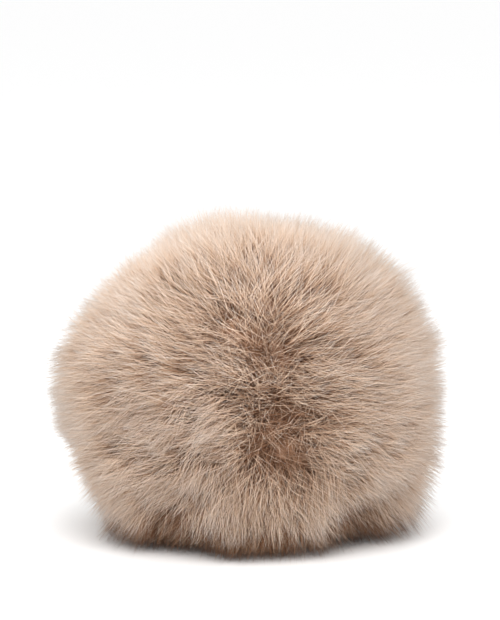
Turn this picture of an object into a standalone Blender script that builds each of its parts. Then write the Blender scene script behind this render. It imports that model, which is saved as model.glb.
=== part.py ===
"""A fur pom pom with a sewn-on press stud, as worn on the crown of a knitted hat.

A stuffed ball carries locks of pile that stand out all round it. The ball rests on its fur, so the
locks under it are shorter and end level on the surface. At the back the locks leave a shaft down to the
ball, where the ball half of a press stud is sewn on: a lacquered plate, a brass rim and a brass ball.

Metres, +Z up. The origin lies on the surface, straight below the middle of the ball. The side that the
fur shows to the front faces -Y, and the stud faces +Y.
"""

import math

import bmesh
import bpy
import numpy as np

MM = 0.001

# The ball and its fur.
CORE_RADIUS = 30 * MM
CORE_HEIGHT = 43 * MM  # the middle of the ball above the surface
FUR_REACH = 65.5 * MM  # the middle of the ball to the ends of the fur
FLOOR_ROUNDING = 8 * MM  # how softly the side of the fur turns into the level underside
LOCK_COUNT = 296

# The press stud.
PLATE_RADIUS = 8.5 * MM
PLATE_THICKNESS = 0.9 * MM
PLATE_EDGE = 0.35 * MM  # how far the plate's edge is rounded over
BOSS_RADIUS = 3.9 * MM  # the raised middle of the plate, round the ball's neck
BOSS_RISE = 0.5 * MM
RIM_THICKNESS = 0.7 * MM
BALL_RADIUS = 2.9 * MM
NECK_RADIUS = 2.2 * MM
NECK_RISE = 1.1 * MM  # from the boss to the underside of the ball
BALL_FLAT = 0.8 * MM  # radius of the small flat on top of the ball
HOLE_DISTANCE = 6.7 * MM  # from the stud's axis to the middle of a sewing hole
HOLE_LENGTH = 2.5 * MM
HOLE_WIDTH = 1.5 * MM
HOLE_COUNT = 4
GAP = 0.3 * MM  # between pieces that touch

# Directions from the middle of the ball.
STUD_AXIS = np.array([0.0, 1.0, 0.0])
DOWN = np.array([0.0, 0.0, -1.0])
SEAT_ANGLE = math.radians(21.0)  # half the cone that the stud's flat seat takes
SHAFT_ANGLE = math.radians(24.0)  # no lock's root comes nearer the stud's axis than this
SHAFT_LOCK_ANGLE = math.radians(28.5)  # and no lock's middle
SEAT_POINTS = 20

# Where the fur reaches further or less far than FUR_REACH. Azimuth 0 faces the front, 90 the right.
TUFTS = (
    # azimuth, elevation, extra reach, spread: degrees, degrees, metres, degrees
    dict(azimuth=86, elevation=-36, extra=5.2 * MM, spread=14),
    dict(azimuth=93, elevation=28, extra=2.1 * MM, spread=14),
    dict(azimuth=96, elevation=48, extra=1.6 * MM, spread=12),
    dict(azimuth=114, elevation=78, extra=-3.7 * MM, spread=10),
    dict(azimuth=-97, elevation=54, extra=-3.3 * MM, spread=17),
    dict(azimuth=-90, elevation=12, extra=2.4 * MM, spread=6),
    dict(azimuth=-88, elevation=-26, extra=-8.2 * MM, spread=15),
    dict(azimuth=38, elevation=26, extra=1.4 * MM, spread=18),
    dict(azimuth=-42, elevation=8, extra=1.6 * MM, spread=20),
    dict(azimuth=11, elevation=4, extra=-4.5 * MM, spread=8),
    dict(azimuth=7, elevation=31, extra=-2.0 * MM, spread=8),
    dict(azimuth=140, elevation=30, extra=2.0 * MM, spread=22),
    dict(azimuth=-28, elevation=-27, extra=-3.2 * MM, spread=7),
    dict(azimuth=50, elevation=-31, extra=-4.2 * MM, spread=8),
    dict(azimuth=-135, elevation=40, extra=-1.8 * MM, spread=20),
    dict(azimuth=-140, elevation=-15, extra=1.6 * MM, spread=22),
)

# How the fur is swept sideways, in waves over the ball: wave vector, push and phase.
SWEEPS = (
    dict(wave=(2.3, 1.1, -1.7), push=(0.032, -0.018, 0.036), phase=0.4),
    dict(wave=(-1.4, 2.6, 1.9), push=(-0.026, 0.032, 0.018), phase=2.1),
    dict(wave=(3.1, -0.8, 2.4), push=(0.018, 0.02, -0.03), phase=4.0),
)

# Lines over the ball from which the fur parts to both sides: two ends as azimuth and elevation, the
# most that the fur leans away, and how far from the line it leans most, both in radians.
PARTINGS = (
    dict(start=(8, 31), end=(18, -14), push=0.13, spread=0.30),
    dict(start=(-118, 52), end=(-80, 36), push=0.06, spread=0.24),
    dict(start=(128, 8), end=(104, -18), push=0.06, spread=0.24),
)
SHAFT_CLOSING = 0.17  # how far the fur round the stud leans in over it at its ends, in radians
SHAFT_CLOSING_SPREAD = 34.0  # degrees from the stud's axis

# The rings of a lock: how far out along it, and how much of its own patch of the ball it fills.
LOCK_RINGS = (
    dict(share=0.0, fill=0.62),
    dict(share=0.38, fill=0.84),
    dict(share=0.74, fill=0.90),
    dict(share=0.92, fill=0.58),
)
LEVEL_LOCK_RINGS = (
    dict(share=0.0, fill=0.62),
    dict(share=0.40, fill=0.84),
    dict(share=0.78, fill=0.92),
    dict(share=1.0, fill=0.74),
)
LOCK_SIDES = 4
SHORTEST_LOCK = 0.92  # of the full reach
LEVEL_BELOW = -0.70  # a lock pointing lower than this ends on the surface

# How the locks' directions are spread over the ball: each pushes its neighbours away, in rounds.
SPREAD_ROUNDS = 90
SPREAD_PUSH = 0.35
SPREAD_START = 0.02  # how far each starts from its place in the spiral
SPREAD_SEED = 5
LOCK_SEED = 11

SHARP_EDGE = math.radians(35)

FUR_COLOUR = (0.52, 0.36, 0.26, 1.0)
LACQUER_COLOUR = (0.012, 0.011, 0.012, 1.0)
BRASS_COLOUR = (0.62, 0.47, 0.20, 1.0)


def clear_scene():
    for obj in list(bpy.data.objects):
        bpy.data.objects.remove(obj, do_unlink=True)


def material(name, colour, roughness, metallic):
    made = bpy.data.materials.new(name)
    made.use_nodes = True
    shader = made.node_tree.nodes["Principled BSDF"]
    shader.inputs["Base Color"].default_value = colour
    shader.inputs["Roughness"].default_value = roughness
    shader.inputs["Metallic"].default_value = metallic
    return made


def unit(vectors):
    return vectors / np.linalg.norm(vectors, axis=-1, keepdims=True)


def direction_of(azimuth, elevation):
    """Unit vector for degrees of azimuth, 0 at the front and 90 at the right, and of elevation."""
    turn, rise = math.radians(azimuth), math.radians(elevation)
    return np.array(
        [math.sin(turn) * math.cos(rise), -math.cos(turn) * math.cos(rise), math.sin(rise)]
    )


def fur_reach(directions):
    """From the middle of the ball to the ends of the fur, never lower than the surface."""
    reach = np.full(len(directions), FUR_REACH)
    for tuft in TUFTS:
        middle = direction_of(tuft["azimuth"], tuft["elevation"])
        away = np.degrees(np.arccos(np.clip(directions @ middle, -1, 1)))
        reach += tuft["extra"] * np.exp(-0.5 * (away / tuft["spread"]) ** 2)
    to_floor = CORE_HEIGHT / np.maximum(-directions[:, 2], 1e-3)
    blend = np.maximum(FLOOR_ROUNDING - np.abs(reach - to_floor), 0) / FLOOR_ROUNDING
    return np.minimum(reach, to_floor) - blend**2 * FLOOR_ROUNDING / 4


def parted(directions, parting):
    """How far these directions lean away from a parting at the ends of the fur."""
    start, end = direction_of(*parting["start"]), direction_of(*parting["end"])
    along = (directions - start) @ (end - start) / ((end - start) @ (end - start))
    nearest = unit(start + np.clip(along, 0, 1)[:, None] * (end - start))
    apart = directions - nearest
    fade = np.exp(0.5 - 0.5 * (apart**2).sum(axis=1) / parting["spread"] ** 2)
    sideways = apart - directions * (apart * directions).sum(axis=1)[:, None]
    return sideways * (parting["push"] / parting["spread"] * fade)[:, None]


def swept(directions, shares):
    """The directions in which the fur lies at these shares of its length."""
    lean = np.zeros_like(directions)
    for sweep in SWEEPS:
        wave = np.sin(directions @ np.array(sweep["wave"]) + sweep["phase"])
        lean += wave[:, None] * np.array(sweep["push"])
    for parting in PARTINGS:
        lean += parted(directions, parting)
    lean *= np.clip(1 + directions[:, 2:] / abs(LEVEL_BELOW), 0, 1)
    away = np.degrees(np.arccos(np.clip(directions @ STUD_AXIS, -1, 1)))
    closing = SHAFT_CLOSING * np.exp(-0.5 * (away / SHAFT_CLOSING_SPREAD) ** 2)
    lean += closing[:, None] * (STUD_AXIS - directions * (directions @ STUD_AXIS)[:, None])
    return unit(directions + lean * (shares**1.3)[:, None])


def fur_points(directions, shares):
    """Points in the fur, from share 0 on the ball to share 1 at the ends of the fur."""
    lying = swept(directions, shares)
    radius = CORE_RADIUS + (fur_reach(lying) - CORE_RADIUS) * shares
    return lying * radius[:, None] + np.array([0, 0, CORE_HEIGHT])


def even_directions(count):
    """Directions spread evenly over the ball, with one straight down and none over the stud."""
    index = np.arange(count) + 0.5
    height = 1 - 2 * index / count
    turn = index * math.pi * (3 - math.sqrt(5))
    flat = np.sqrt(1 - height**2)
    spots = np.stack([flat * np.cos(turn), flat * np.sin(turn), height], axis=1)
    chance = np.random.default_rng(SPREAD_SEED)
    spots = unit(spots + chance.normal(0, SPREAD_START, spots.shape))
    for _ in range(SPREAD_ROUNDS):
        spots[-1] = DOWN
        apart = spots[:, None] - spots[None]
        distance = np.linalg.norm(apart, axis=2) + np.eye(count)
        push = (apart / distance[..., None] ** 4).sum(axis=1)
        spots = unit(spots + push * SPREAD_PUSH / count**2)
        spots = kept_off_stud(spots)
    spots[-1] = DOWN
    return spots


def kept_off_stud(spots):
    """Moves directions that point too near the stud out to the edge of its shaft."""
    near = spots @ STUD_AXIS > math.cos(SHAFT_LOCK_ANGLE)
    sideways = unit(spots - (spots @ STUD_AXIS)[:, None] * STUD_AXIS)
    edge = math.cos(SHAFT_LOCK_ANGLE) * STUD_AXIS + math.sin(SHAFT_LOCK_ANGLE) * sideways
    return np.where(near[:, None], edge, spots)


def patch_corners(spots, own, start, fill):
    """Corners of a lock's section as directions, inside the patch of the ball that is nearest to it."""
    middle = spots[own]
    others = np.delete(spots, own, axis=0)
    helper = np.array([0.0, 0.0, 1.0]) if abs(middle[2]) < 0.9 else np.array([1.0, 0.0, 0.0])
    side = unit(np.cross(helper, middle))
    up = np.cross(middle, side)
    corners = []
    for k in range(LOCK_SIDES):
        angle = start + 2 * math.pi * k / LOCK_SIDES
        along = math.cos(angle) * side + math.sin(angle) * up
        facing = others @ along
        edge = np.arctan2(1 - others @ middle, np.maximum(facing, 1e-9))
        half = fill * edge[facing > 0].min()
        corner = math.cos(half) * middle + math.sin(half) * along
        while corner @ STUD_AXIS > math.cos(SHAFT_ANGLE):
            half *= 0.9
            corner = math.cos(half) * middle + math.sin(half) * along
        corners.append(corner)
    return np.array(corners)


def lock_sections(spots, own, start, length):
    """The rings of one lock as lists of points, from its root on the ball outwards."""
    level = spots[own][2] < LEVEL_BELOW
    rings = []
    for ring in LEVEL_LOCK_RINGS if level else LOCK_RINGS:
        corners = patch_corners(spots, own, start, ring["fill"])
        share = ring["share"] * (1.0 if level else length)
        rings.append(fur_points(corners, np.full(LOCK_SIDES, share)))
    return rings, level


def add_lock(bm, roots, rings, tip):
    """Builds one lock on its root corners, ending in a point, or in a level face where tip is None."""
    below = roots
    for ring in rings[1:]:
        above = [bm.verts.new(point) for point in ring]
        for k in range(LOCK_SIDES):
            after = (k + 1) % LOCK_SIDES
            bm.faces.new((below[k], below[after], above[after], above[k]))
        below = above
    if tip is None:
        bm.faces.new(below)
        return
    end = bm.verts.new(tip)
    for k in range(LOCK_SIDES):
        bm.faces.new((below[k], below[(k + 1) % LOCK_SIDES], end))


def open_root(bm, roots):
    """Takes away the faces of the ball that lie inside a lock's root."""
    inside = {face for vert in roots for face in vert.link_faces if set(face.verts) <= set(roots)}
    bmesh.ops.delete(bm, geom=list(inside), context="FACES_ONLY")
    loose = {edge for vert in roots for edge in vert.link_edges if not edge.link_faces}
    bmesh.ops.delete(bm, geom=list(loose), context="EDGES")


def make_fur():
    """The stuffed ball with every lock of its pile, as one solid."""
    spots = even_directions(LOCK_COUNT)
    chance = np.random.default_rng(LOCK_SEED)
    starts = chance.uniform(0, 2 * math.pi, LOCK_COUNT)
    lengths = chance.uniform(SHORTEST_LOCK, 1.0, LOCK_COUNT)
    bm = bmesh.new()
    locks = []
    for own in range(LOCK_COUNT):
        rings, level = lock_sections(spots, own, starts[own], lengths[own])
        tip = None
        if not level:
            tip = fur_points(spots[own : own + 1], lengths[own : own + 1])[0]
        locks.append(([bm.verts.new(point) for point in rings[0]], rings, tip))
    for k in range(SEAT_POINTS):
        turn = 2 * math.pi * k / SEAT_POINTS
        across = CORE_RADIUS * math.sin(SEAT_ANGLE)
        seat = (across * math.cos(turn), seat_depth(), across * math.sin(turn) + CORE_HEIGHT)
        bm.verts.new(seat)
    bmesh.ops.convex_hull(bm, input=bm.verts[:], use_existing_faces=False)
    for roots, rings, tip in locks:
        open_root(bm, roots)
        add_lock(bm, roots, rings, tip)
    bmesh.ops.recalc_face_normals(bm, faces=bm.faces[:])
    return finished("fur", bm, material("fur", FUR_COLOUR, 0.85, 0.0))


def seat_depth():
    """How far behind the middle of the ball the flat lies that the stud sits on."""
    return CORE_RADIUS * math.cos(SEAT_ANGLE)


def finished(name, bm, look):
    mesh = bpy.data.meshes.new(name)
    bm.to_mesh(mesh)
    bm.free()
    mesh.shade_smooth()
    mesh.set_sharp_from_angle(angle=SHARP_EDGE)
    mesh.materials.append(look)
    obj = bpy.data.objects.new(name, mesh)
    bpy.context.scene.collection.objects.link(obj)
    return obj


def turned(name, profile, look, steps):
    """A solid turned about Z from a closed or axis-to-axis profile of (radius, height) points."""
    bm = bmesh.new()
    points = [bm.verts.new((radius, 0, height)) for radius, height in profile]
    edges = [bm.edges.new(pair) for pair in zip(points, points[1:])]
    if min(radius for radius, _ in profile) > 0:
        edges.append(bm.edges.new((points[-1], points[0])))
    bmesh.ops.spin(
        bm, geom=points + edges, axis=(0, 0, 1), cent=(0, 0, 0), angle=2 * math.pi, steps=steps
    )
    bmesh.ops.remove_doubles(bm, verts=bm.verts[:], dist=1e-6)
    bmesh.ops.recalc_face_normals(bm, faces=bm.faces[:])
    return finished(name, bm, look)


def make_holder():
    """An empty on the stud's axis, on the ball's flat, whose Z points out of the back of the fur."""
    holder = bpy.data.objects.new("stud_axis", None)
    bpy.context.scene.collection.objects.link(holder)
    holder.location = (0, seat_depth(), CORE_HEIGHT)
    holder.rotation_euler = (-math.pi / 2, 0, 0)
    return holder


def arc(centre, radius, begin, end, steps):
    """Points (radius, height) of an arc, with angles in degrees from the outward direction."""
    angles = [math.radians(begin + (end - begin) * i / steps) for i in range(steps + 1)]
    return [(centre[0] + radius * math.cos(a), centre[1] + radius * math.sin(a)) for a in angles]


def make_plate(holder):
    """The lacquered plate: a disc with a rounded edge, a raised middle and four sewing holes."""
    base, top = GAP, GAP + PLATE_THICKNESS
    edge = arc((PLATE_RADIUS - PLATE_EDGE, top - PLATE_EDGE), PLATE_EDGE, 0, 90, 3)
    profile = [(0, base), (PLATE_RADIUS, base), *edge]
    profile += [(BOSS_RADIUS + BOSS_RISE, top), (BOSS_RADIUS, top + BOSS_RISE), (0, top + BOSS_RISE)]
    plate = turned("stud_plate", profile, material("lacquer", LACQUER_COLOUR, 0.22, 0.3), 48)
    plate.parent = holder
    for k in range(HOLE_COUNT):
        cut_hole(plate, 2 * math.pi * k / HOLE_COUNT, holder, k)
    return plate


def cut_hole(plate, turn, holder, number):
    """Cuts one oval sewing hole, longer round the plate than across it."""
    bm = bmesh.new()
    half = HOLE_LENGTH / 2 - HOLE_WIDTH / 2
    ends = arc((half, 0), HOLE_WIDTH / 2, -90, 90, 6) + arc((-half, 0), HOLE_WIDTH / 2, 90, 270, 6)
    outline = [bm.verts.new((x, y, -2 * PLATE_THICKNESS)) for x, y in ends]
    face = bm.faces.new(outline)
    made = bmesh.ops.extrude_face_region(bm, geom=[face])["geom"]
    raised = [v for v in made if isinstance(v, bmesh.types.BMVert)]
    bmesh.ops.translate(bm, verts=raised, vec=(0, 0, 5 * PLATE_THICKNESS))
    bmesh.ops.recalc_face_normals(bm, faces=bm.faces[:])
    cutter = finished(f"hole_cutter_{number}", bm, plate.data.materials[0])
    cutter.parent = holder
    cutter.location = (-HOLE_DISTANCE * math.sin(turn), HOLE_DISTANCE * math.cos(turn), 0)
    cutter.rotation_euler = (0, 0, turn)
    cutter.hide_render = True
    cutter.display_type = "WIRE"
    cut = plate.modifiers.new(f"hole_{number}", "BOOLEAN")
    cut.operation = "DIFFERENCE"
    cut.object = cutter


def make_rim(holder):
    """The brass rim that is rolled round the plate's edge."""
    half = RIM_THICKNESS / 2
    section = arc((PLATE_RADIUS + GAP + half, GAP + half), half, 0, 315, 7)
    rim = turned("stud_rim", section, material("brass", BRASS_COLOUR, 0.3, 1.0), 48)
    rim.parent = holder
    return rim


def make_ball(holder):
    """The brass ball on its neck, with a small flat on top."""
    foot = GAP + PLATE_THICKNESS + BOSS_RISE + GAP
    under = math.degrees(math.acos(NECK_RADIUS / BALL_RADIUS))
    over = math.degrees(math.acos(BALL_FLAT / BALL_RADIUS))
    centre = foot + NECK_RISE + BALL_RADIUS * math.sin(math.radians(under))
    profile = [(0, foot), (NECK_RADIUS, foot), *arc((0, centre), BALL_RADIUS, -under, over, 12)]
    profile.append((0, profile[-1][1]))
    ball = turned("stud_ball", profile, bpy.data.materials["brass"], 32)
    ball.parent = holder
    return ball


def main():
    clear_scene()
    make_fur()
    holder = make_holder()
    make_plate(holder)
    make_rim(holder)
    make_ball(holder)


main()
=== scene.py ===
import math

import bmesh
import bpy
import numpy as np
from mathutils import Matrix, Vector


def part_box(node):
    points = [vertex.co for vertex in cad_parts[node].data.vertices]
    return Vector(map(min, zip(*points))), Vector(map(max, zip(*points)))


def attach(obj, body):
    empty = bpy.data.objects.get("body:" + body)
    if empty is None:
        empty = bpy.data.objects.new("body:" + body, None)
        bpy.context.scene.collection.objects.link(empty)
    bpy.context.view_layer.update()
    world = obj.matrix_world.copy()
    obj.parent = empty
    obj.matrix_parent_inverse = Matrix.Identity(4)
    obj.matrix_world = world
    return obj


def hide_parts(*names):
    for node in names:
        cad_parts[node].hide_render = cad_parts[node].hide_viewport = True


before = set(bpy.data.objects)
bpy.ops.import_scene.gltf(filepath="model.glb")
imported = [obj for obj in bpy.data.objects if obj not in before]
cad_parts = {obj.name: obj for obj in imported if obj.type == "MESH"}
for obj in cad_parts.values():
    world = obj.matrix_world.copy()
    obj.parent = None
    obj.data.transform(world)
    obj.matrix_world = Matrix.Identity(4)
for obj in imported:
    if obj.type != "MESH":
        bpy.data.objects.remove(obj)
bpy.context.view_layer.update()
scene = bpy.context.scene
print("frame loaded:", ", ".join(sorted(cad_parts)))

# Metres throughout. The pom pom's front faces -Y, its press stud faces +Y, and it stands on z = 0.
mm = 0.001
studLow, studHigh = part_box("stud_plate")
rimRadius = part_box("stud_rim")[1].x


def unit(vectors):
    return vectors / np.linalg.norm(vectors, axis=-1, keepdims=True)


def directionOf(azimuth, elevation):
    # degrees, azimuth 0 at the front and 90 at the right
    turn, rise = math.radians(azimuth), math.radians(elevation)
    return np.array([math.sin(turn) * math.cos(rise), -math.cos(turn) * math.cos(rise), math.sin(rise)])


def tangent(directions, vectors):
    # the part of each vector that lies along the ball's surface there
    return vectors - directions * (vectors * directions).sum(axis=1)[:, None]


def evenDirections(count, jitter, chance):
    # a spiral over the whole ball, each point moved by up to about jitter of their spacing
    index = np.arange(count) + 0.5
    height = 1 - 2 * index / count
    turn = index * math.pi * (3 - math.sqrt(5))
    flat = np.sqrt(1 - height**2)
    spots = np.stack([flat * np.cos(turn), flat * np.sin(turn), height], axis=1)
    spacing = math.sqrt(4 * math.pi / count)
    return unit(spots + chance.normal(0, jitter * spacing, spots.shape))


def smoothStep(low, high, values):
    share = np.clip((values - low) / (high - low), 0, 1)
    return share * share * (3 - 2 * share)


def newObject(name, mesh):
    made = bpy.data.objects.new(name, mesh)
    scene.collection.objects.link(made)
    return made


def addNode(tree, kind, inputs=None, **settings):
    node = tree.nodes.new(kind)
    for key, value in settings.items():
        setattr(node, key, value)
    for key, value in (inputs or {}).items():
        if isinstance(value, bpy.types.NodeSocket):
            tree.links.new(value, node.inputs[key])
        else:
            node.inputs[key].default_value = value
    return node


def calc(tree, operation, *values):
    return addNode(tree, "ShaderNodeMath", dict(enumerate(values)), operation=operation).outputs[0]


def vectorCalc(tree, operation, *values):
    return addNode(tree, "ShaderNodeVectorMath", dict(enumerate(values)), operation=operation).outputs[0]


def scaled(tree, vector, factor):
    node = addNode(tree, "ShaderNodeVectorMath", {0: vector, "Scale": factor}, operation="SCALE")
    return node.outputs["Vector"]


def blended(tree, factor, a, b):
    # vectors a to b
    node = addNode(tree, "ShaderNodeMix", {0: factor, 4: a, 5: b}, data_type="VECTOR", clamp_factor=False)
    return node.outputs[1]


def mixedColour(tree, factor, a, b, kind="MIX"):
    node = addNode(tree, "ShaderNodeMix", {0: factor, 6: a, 7: b}, data_type="RGBA", blend_type=kind)
    return node.outputs[2]


def ranged(tree, value, low, high, toLow=0.0, toHigh=1.0):
    # a value between low and high brought to between toLow and toHigh
    inputs = {"Value": value, "From Min": low, "From Max": high, "To Min": toLow, "To Max": toHigh}
    return addNode(tree, "ShaderNodeMapRange", inputs).outputs[0]


def noise(tree, place, scale, detail):
    inputs = {"Vector": place, "Scale": scale, "Detail": detail}
    return addNode(tree, "ShaderNodeTexNoise", inputs).outputs[0]


def bumpOn(tree, shader, height, strength, depth):
    bump = addNode(tree, "ShaderNodeBump", {"Strength": strength, "Distance": depth, "Height": height})
    tree.links.new(bump.outputs[0], shader.inputs["Normal"])


# what each hair's guide point carries
guideValues = ("root", "bend", "tip", "thick", "tint", "shown", "pale")


def builtBy(tree, name, base, values):
    # runs a geometry tree on a mesh and keeps what it makes as a plain mesh
    made = newObject(name, base)
    modifier = made.modifiers.new(tree.name, "NODES")
    modifier.node_group = tree
    for item in tree.interface.items_tree:
        if item.item_type == "SOCKET" and item.in_out == "INPUT" and item.name in values:
            modifier[item.identifier] = values[item.name]
    graph = bpy.context.evaluated_depsgraph_get()
    mesh = bpy.data.meshes.new_from_object(made.evaluated_get(graph), depsgraph=graph)
    made.modifiers.remove(modifier)
    made.data = mesh
    mesh.name = name
    for left in [a.name for a in mesh.attributes if a.name in guideValues]:
        mesh.attributes.remove(mesh.attributes[left])
    return made


ballShape = dict(
    coreRadius=30 * mm,
    middle=(studLow.z + studHigh.z) / 2,
    reach=65.5 * mm,
    floorRounding=8 * mm,
    seatDepth=studLow.y - 0.3 * mm,
    levelBelow=-0.70,  # height of the directions whose fur lies level on the surface
    leanPower=1.3,  # how late along its length the fur leans
    shaftClosing=0.17,  # how far the fur leans in over the stud
    shaftClosingSpread=34.0,  # degrees
)
studAxis = np.array([0.0, 1.0, 0.0])

# where the fur reaches further or less far: degrees, degrees, metres, degrees
tufts = [
    dict(azimuth=86, elevation=-36, extra=5.2 * mm, spread=14),
    dict(azimuth=93, elevation=28, extra=2.1 * mm, spread=14),
    dict(azimuth=96, elevation=48, extra=1.6 * mm, spread=12),
    dict(azimuth=114, elevation=78, extra=-3.7 * mm, spread=10),
    dict(azimuth=-97, elevation=54, extra=-3.3 * mm, spread=17),
    dict(azimuth=-90, elevation=12, extra=2.4 * mm, spread=6),
    dict(azimuth=-88, elevation=-26, extra=-8.2 * mm, spread=15),
    dict(azimuth=38, elevation=26, extra=1.4 * mm, spread=18),
    dict(azimuth=-42, elevation=8, extra=1.6 * mm, spread=20),
    dict(azimuth=11, elevation=4, extra=-4.5 * mm, spread=8),
    dict(azimuth=7, elevation=31, extra=-2.0 * mm, spread=8),
    dict(azimuth=140, elevation=30, extra=2.0 * mm, spread=22),
    dict(azimuth=-28, elevation=-27, extra=-3.2 * mm, spread=7),
    dict(azimuth=50, elevation=-31, extra=-4.2 * mm, spread=8),
    dict(azimuth=-135, elevation=40, extra=-1.8 * mm, spread=20),
    dict(azimuth=-140, elevation=-15, extra=1.6 * mm, spread=22),
]

# waves of sideways sweep over the ball
sweeps = [
    dict(wave=(2.3, 1.1, -1.7), push=(0.032, -0.018, 0.036), phase=0.4),
    dict(wave=(-1.4, 2.6, 1.9), push=(-0.026, 0.032, 0.018), phase=2.1),
    dict(wave=(3.1, -0.8, 2.4), push=(0.018, 0.02, -0.03), phase=4.0),
]

# lines from which the fur parts to both sides: ends as azimuth and elevation, lean in radians
partings = [
    dict(start=(8, 31), end=(18, -14), push=0.13, spread=0.30),
    dict(start=(-118, 52), end=(-80, 36), push=0.06, spread=0.24),
    dict(start=(128, 8), end=(104, -18), push=0.06, spread=0.24),
]


def degreesFrom(directions, axis):
    return np.degrees(np.arccos(np.clip(directions @ axis, -1, 1)))


def furReach(directions):
    reach = np.full(len(directions), ballShape["reach"])
    for tuft in tufts:
        away = degreesFrom(directions, directionOf(tuft["azimuth"], tuft["elevation"]))
        reach += tuft["extra"] * np.exp(-0.5 * (away / tuft["spread"]) ** 2)
    toFloor = ballShape["middle"] / np.maximum(-directions[:, 2], 1e-3)
    rounding = ballShape["floorRounding"]
    blend = np.maximum(rounding - np.abs(reach - toFloor), 0) / rounding
    return np.minimum(reach, toFloor) - blend**2 * rounding / 4


def fromLine(directions, line):
    # how far each direction is from a line on the ball, and how much of the line's effect is left there
    start, end = directionOf(*line["start"]), directionOf(*line["end"])
    along = (directions - start) @ (end - start) / ((end - start) @ (end - start))
    apart = directions - unit(start + np.clip(along, 0, 1)[:, None] * (end - start))
    return apart, np.exp(-0.5 * (apart**2).sum(axis=1) / line["spread"] ** 2)


def parted(directions, line):
    apart, fade = fromLine(directions, line)
    return tangent(directions, apart) * (line["push"] / line["spread"] * math.exp(0.5) * fade)[:, None]


def swept(directions, shares):
    lean = np.zeros_like(directions)
    for sweep in sweeps:
        wave = np.sin(directions @ np.array(sweep["wave"]) + sweep["phase"])
        lean += wave[:, None] * np.array(sweep["push"])
    for parting in partings:
        lean += parted(directions, parting)
    lean *= np.clip(1 + directions[:, 2:] / abs(ballShape["levelBelow"]), 0, 1)
    away = degreesFrom(directions, studAxis)
    closing = ballShape["shaftClosing"] * np.exp(-0.5 * (away / ballShape["shaftClosingSpread"]) ** 2)
    lean += closing[:, None] * tangent(directions, np.broadcast_to(studAxis, directions.shape))
    return unit(directions + lean * (shares ** ballShape["leanPower"])[:, None])


def coreReach(directions):
    # the stuffed ball, with the flat that the stud is sewn to
    toSeat = ballShape["seatDepth"] / np.maximum(directions @ studAxis, 1e-3)
    return np.minimum(ballShape["coreRadius"], toSeat)


def furPoints(directions, shares):
    # share 0 on the stuffed ball, share 1 at the ends of the fur
    lying = swept(directions, shares)
    radius = coreReach(lying) + (furReach(lying) - coreReach(lying)) * shares
    return lying * radius[:, None] + np.array([0, 0, ballShape["middle"]])


furLook = dict(
    root=(0.26, 0.13, 0.07, 1),
    under=(0.38, 0.215, 0.13, 1),
    middle=(0.83, 0.635, 0.485, 1),
    tip=(0.96, 0.935, 0.92, 1),
    underAt=0.28,
    middleAt=0.64,
    darkest=(0.47, 0.36, 0.275, 1),  # what the darkest hairs keep of their colour
    lightest=(1.19, 1.215, 1.23, 1),
    tipSpread=0.95,  # how much of that difference is left at the ends
    roughness=0.6,
    gloss=0.12,
    sheen=0.05,
    sheenRoughness=0.5,
)


def colourGroup():
    # a fibre's colour from how far along it lies and how light a hair it is
    tree = bpy.data.node_groups.new("fibreColour", "ShaderNodeTree")
    for name in ("Root", "Under", "Middle", "Tip", "Darkest", "Lightest"):
        tree.interface.new_socket(name, in_out="INPUT", socket_type="NodeSocketColor")
    for name in ("Along", "Tint", "Under At", "Middle At", "Tip Spread"):
        tree.interface.new_socket(name, in_out="INPUT", socket_type="NodeSocketFloat")
    tree.interface.new_socket("Colour", in_out="OUTPUT", socket_type="NodeSocketColor")
    given = tree.nodes.new("NodeGroupInput").outputs
    steps = (
        (0.0, given["Under At"], given["Under"]),
        (given["Under At"], given["Middle At"], given["Middle"]),
        (given["Middle At"], 1.0, given["Tip"]),
    )
    colour = given["Root"]
    for begin, end, reached in steps:
        colour = mixedColour(tree, ranged(tree, given["Along"], begin, end), colour, reached)
    shade = mixedColour(tree, given["Tint"], given["Darkest"], given["Lightest"])
    strength = ranged(tree, given["Along"], given["Middle At"], 1.0, 1.0, given["Tip Spread"])
    out = tree.nodes.new("NodeGroupOutput")
    tree.links.new(mixedColour(tree, strength, colour, shade, "MULTIPLY"), out.inputs["Colour"])
    return tree


def wearGroup():
    # a soft patchy mask for handling wear and a fine grain, on object coordinates
    tree = bpy.data.node_groups.new("handledMetal", "ShaderNodeTree")
    for name in ("Patch Scale", "Patch From", "Patch To", "Grain Scale"):
        tree.interface.new_socket(name, in_out="INPUT", socket_type="NodeSocketFloat")
    for name in ("Patches", "Grain"):
        tree.interface.new_socket(name, in_out="OUTPUT", socket_type="NodeSocketFloat")
    given = tree.nodes.new("NodeGroupInput").outputs
    place = tree.nodes.new("ShaderNodeTexCoord").outputs["Object"]
    patches = noise(tree, place, given["Patch Scale"], 4.0)
    grain = noise(tree, place, given["Grain Scale"], 2.0)
    out = tree.nodes.new("NodeGroupOutput")
    tree.links.new(ranged(tree, patches, given["Patch From"], given["Patch To"]), out.inputs["Patches"])
    tree.links.new(grain, out.inputs["Grain"])
    return tree


def newMaterial(name):
    material = bpy.data.materials.new(name)
    material.use_nodes = True
    return material, material.node_tree, material.node_tree.nodes["Principled BSDF"]


def placedGroup(tree, group, inputs):
    return addNode(tree, "ShaderNodeGroup", inputs, node_tree=group).outputs


def furColours(tree, along, tint):
    look = furLook
    return placedGroup(tree, fibreColour, {
        "Along": along, "Tint": tint,
        "Root": look["root"], "Under": look["under"], "Middle": look["middle"], "Tip": look["tip"],
        "Darkest": look["darkest"], "Lightest": look["lightest"],
        "Under At": look["underAt"], "Middle At": look["middleAt"], "Tip Spread": look["tipSpread"],
    })["Colour"]


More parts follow.
